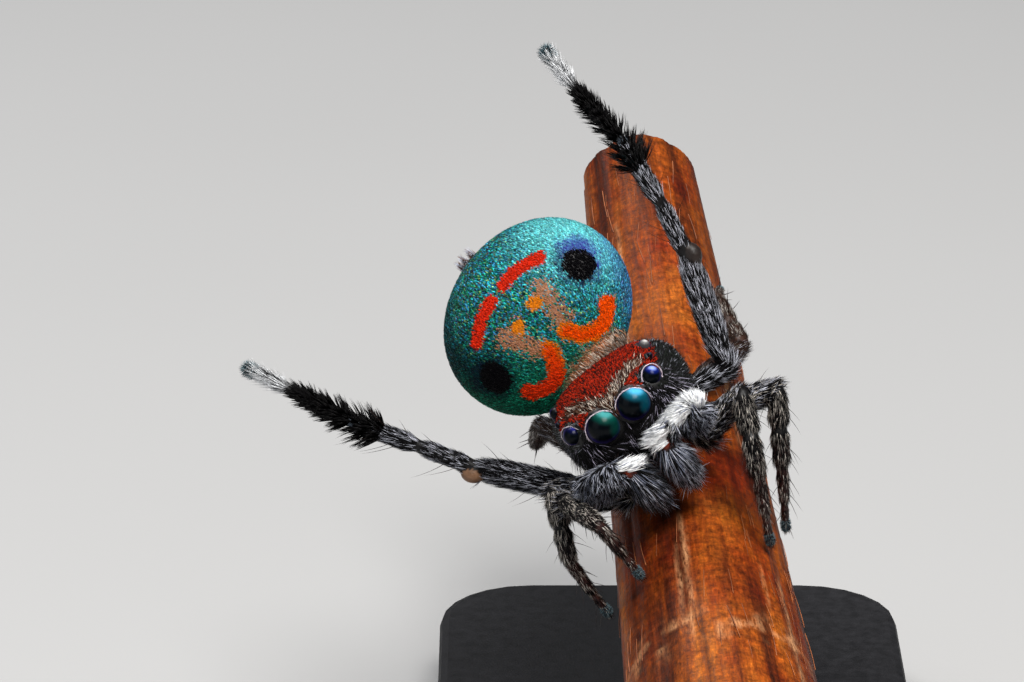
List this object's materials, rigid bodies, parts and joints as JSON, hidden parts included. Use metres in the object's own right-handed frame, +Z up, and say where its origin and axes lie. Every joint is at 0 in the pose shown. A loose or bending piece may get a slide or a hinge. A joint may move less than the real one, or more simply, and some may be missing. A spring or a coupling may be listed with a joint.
{
  "type": "peacock spider on a stem",
  "caption": "Male peacock spider courting on a cut length of stem, back patterns raised, held by a plain stand.",
  "frame": {"origin": "centre of the stand base's underside", "axes": "+Z up; -Y towards the end of the stem that the spider faces; +X to the right as one looks at its face"},
  "size_m": [0.0083, 0.011, 0.0099],
  "materials": {
    "cuticle": "dark horny cuticle under sparse hair, red scales on the crown",
    "grey_hair": "black skin under silver grey hair",
    "black_brush": "black bristles, white towards the tip",
    "white_hair": "dense bright white hair",
    "blue_scales": "turquoise scales with red, orange and black marks",
    "eye_lens": "glossy dark blue green lens",
    "stem_bark": "orange brown, grooved lengthwise",
    "stand_black": "satin black",
    "stand_steel": "brushed"
  },
  "bodies": {
    "root": {"cephalothorax": "cuticle", "pedicel": "cuticle", "abdomen": "blue_scales", "spinnerets": "grey_hair", "eye_large_left": "eye_lens", "eye_large_right": "eye_lens", "eye_side_left": "eye_lens", "eye_side_right": "eye_lens", "eye_small_left": "eye_lens", "eye_small_right": "eye_lens", "eye_rear_left": "eye_lens", "eye_rear_right": "eye_lens", "chelicera_left": "cuticle", "chelicera_right": "cuticle", "palp_left_arm": "white_hair", "palp_left_tip": "grey_hair", "palp_right_arm": "white_hair", "palp_right_tip": "grey_hair", "leg1_left_femur": "grey_hair", "leg1_left_tibia": "grey_hair", "leg1_left_tarsus": "grey_hair", "leg1_right_femur": "grey_hair", "leg1_right_tibia": "grey_hair", "leg1_right_tarsus": "grey_hair", "leg2_left_femur": "grey_hair", "leg2_left_tibia": "grey_hair", "leg2_left_tarsus": "grey_hair", "leg2_right_femur": "grey_hair", "leg2_right_tibia": "grey_hair", "leg2_right_tarsus": "grey_hair", "leg3_left_femur": "grey_hair", "leg3_left_tibia": "grey_hair", "leg3_left_tarsus": "black_brush", "leg3_right_femur": "grey_hair", "leg3_right_tibia": "grey_hair", "leg3_right_tarsus": "black_brush", "leg4_left_femur": "grey_hair", "leg4_left_tibia": "grey_hair", "leg4_left_tarsus": "grey_hair", "leg4_right_femur": "grey_hair", "leg4_right_tibia": "grey_hair", "leg4_right_tarsus": "grey_hair", "perch_stem": "stem_bark", "stand_base": "stand_black", "stand_rod_front": "stand_steel", "stand_rod_back": "stand_steel"}
  },
  "joints": []
}
